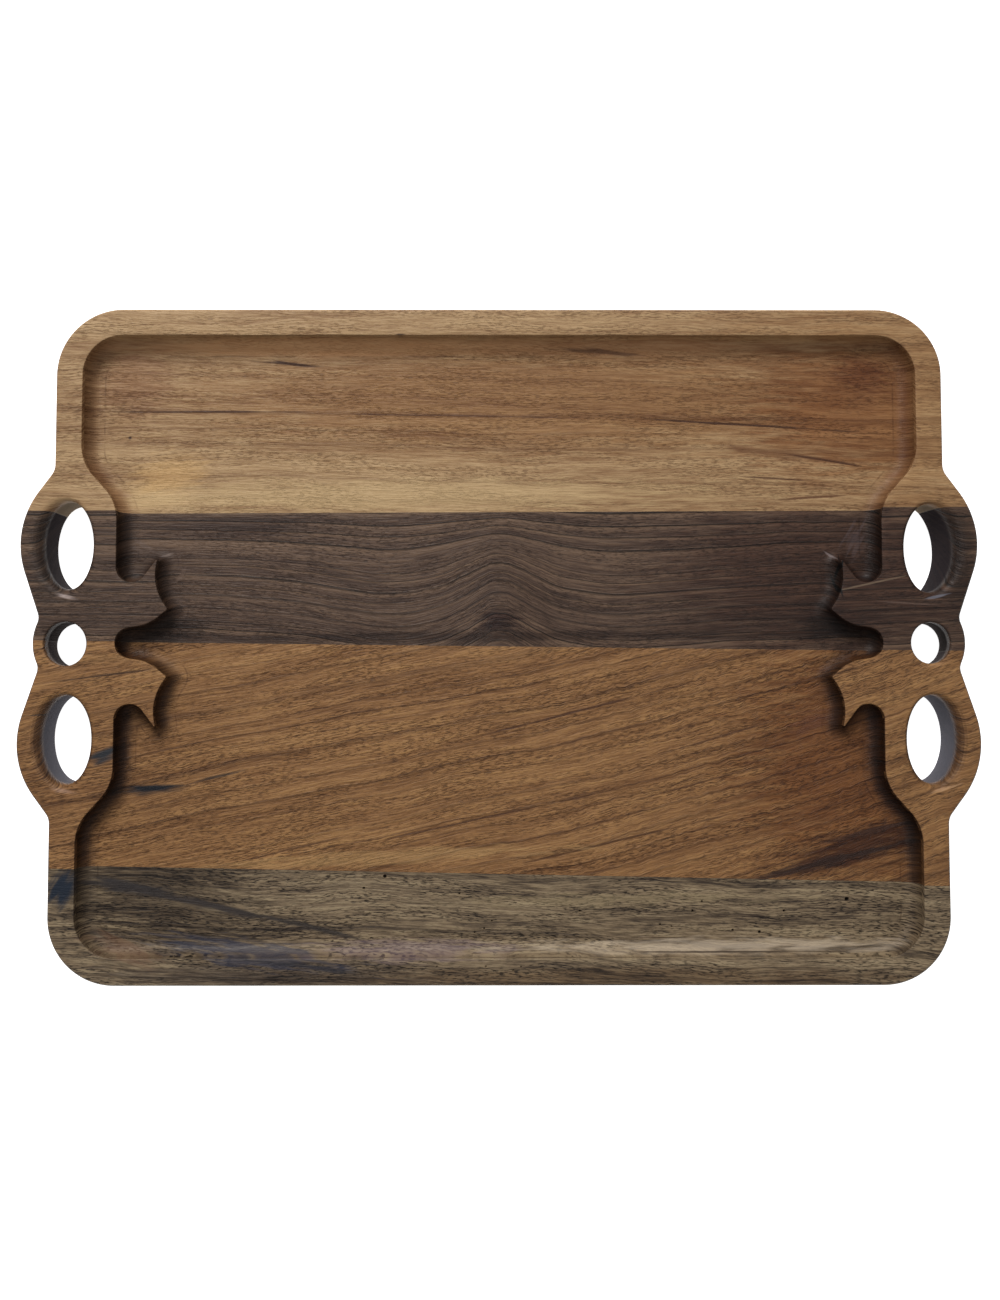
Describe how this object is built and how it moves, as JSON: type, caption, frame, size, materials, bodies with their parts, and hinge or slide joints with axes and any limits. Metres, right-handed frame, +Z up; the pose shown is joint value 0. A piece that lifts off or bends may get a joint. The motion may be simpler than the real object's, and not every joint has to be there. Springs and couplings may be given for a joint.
{
  "type": "wooden serving tray",
  "caption": "Rectangular serving tray of edge-glued hardwood boards, with a shallow carved recess and lobed handles pierced by eye-shaped and round holes.",
  "frame": {"origin": "centre of the underside, at the middle of the tray's bounding box", "axes": "+X along the length to the right-hand handle, +Y towards the pale back board, +Z up out of the recess"},
  "size_m": [0.4999, 0.352, 0.022],
  "materials": {
    "pale_wood": "pale honey-coloured hardwood, oiled",
    "dark_wood": "dark walnut heartwood, oiled",
    "brown_wood": "golden brown walnut, oiled",
    "grey_wood": "grey-brown walnut with small wormholes, oiled",
    "glue": "cured wood glue, matte"
  },
  "bodies": {
    "root": {"back_board": "pale_wood", "dark_board": "dark_wood", "brown_board": "brown_wood", "front_board": "grey_wood", "back_glue": "glue", "middle_glue": "glue", "front_glue": "glue"}
  },
  "joints": []
}
